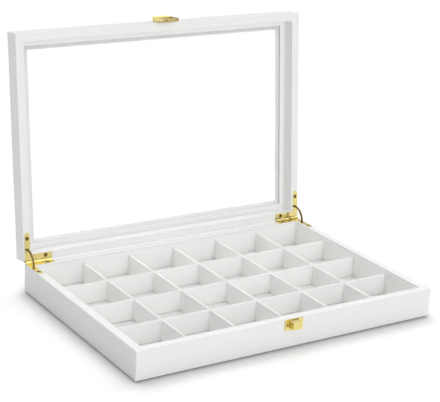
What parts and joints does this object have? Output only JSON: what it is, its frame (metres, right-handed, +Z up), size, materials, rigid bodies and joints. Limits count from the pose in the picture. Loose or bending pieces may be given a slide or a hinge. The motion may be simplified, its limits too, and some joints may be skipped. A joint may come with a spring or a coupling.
{
  "type": "cufflink display box",
  "caption": "Shallow white display box divided into square compartments, with a hinged glass-topped lid propped open on stop hinges and a small front hasp latch.",
  "frame": {"origin": "centre of the felt underside, on the surface that the box stands on", "axes": "+X to the right along the front, +Y to the back where the hinges are, +Z up; the lid is stored open"},
  "size_m": [0.35, 0.2926, 0.2771],
  "materials": {
    "white_lacquer": "satin white lacquer over wood",
    "panel_board": "matt white-faced board",
    "grey_felt": "matt pressed felt",
    "white_suedette": "soft short-pile suedette",
    "clear_glass": "polished clear float glass",
    "gold_plate": "polished pale gold plating",
    "bronzed_brass": "dark bronzed brass"
  },
  "bodies": {
    "base": {"base_front_rail": "white_lacquer", "base_right_rail": "white_lacquer", "base_back_rail": "white_lacquer", "base_left_rail": "white_lacquer", "bottom_panel": "panel_board", "underside_felt": "grey_felt", "floor_lining": "white_suedette", "front_wall_lining": "white_suedette", "right_wall_lining": "white_suedette", "back_wall_lining": "white_suedette", "left_wall_lining": "white_suedette", "divider_row_1": "white_suedette", "divider_row_2": "white_suedette", "divider_row_3": "white_suedette", "divider_column_1": "white_suedette", "divider_column_2": "white_suedette", "divider_column_3": "white_suedette", "divider_column_4": "white_suedette", "divider_column_5": "white_suedette", "left_hinge_base_leaf": "gold_plate", "right_hinge_base_leaf": "gold_plate", "left_hinge_pin": "gold_plate", "right_hinge_pin": "gold_plate", "base_hinge_screws": "bronzed_brass", "catch_plate": "gold_plate", "catch_plate_screws": "gold_plate"},
    "lid": {"lid_front_rail": "white_lacquer", "lid_right_rail": "white_lacquer", "lid_back_rail": "white_lacquer", "lid_left_rail": "white_lacquer", "lid_glass": "clear_glass", "front_glazing_bead": "white_lacquer", "right_glazing_bead": "white_lacquer", "back_glazing_bead": "white_lacquer", "left_glazing_bead": "white_lacquer", "left_hinge_lid_leaf": "gold_plate", "right_hinge_lid_leaf": "gold_plate", "lid_hinge_screws": "bronzed_brass", "latch_plate": "gold_plate", "latch_plate_screws": "gold_plate", "latch_pin": "gold_plate"},
    "hasp": {"latch_hasp": "gold_plate"},
    "left_stay_arc": {"left_stay": "bronzed_brass"},
    "right_stay_arc": {"right_stay": "bronzed_brass"}
  },
  "joints": [
    {"name": "lid_hinge", "type": "hinge", "parent": "base", "child": "lid", "pos_m": [0, 0.12, 0.0322], "axis": [1, 0, 0], "range_deg": [0, 96]},
    {"name": "hasp_hinge", "type": "hinge", "parent": "lid", "child": "hasp", "pos_m": [0, 0.15569, 0.2742], "axis": [-1, 0, 0], "range_deg": [0, 150]},
    {"name": "left_stay_swing", "type": "hinge", "parent": "base", "child": "left_stay_arc", "pos_m": [-0.1708, 0.12, 0.0322], "axis": [1, 0, 0], "range_deg": [0, 48]},
    {"name": "right_stay_swing", "type": "hinge", "parent": "base", "child": "right_stay_arc", "pos_m": [0.1708, 0.12, 0.0322], "axis": [1, 0, 0], "range_deg": [0, 48]}
  ],
  "couplings": [
    {"joint": "left_stay_swing", "follows": "lid_hinge", "ratio": 0.5},
    {"joint": "right_stay_swing", "follows": "lid_hinge", "ratio": 0.5}
  ]
}
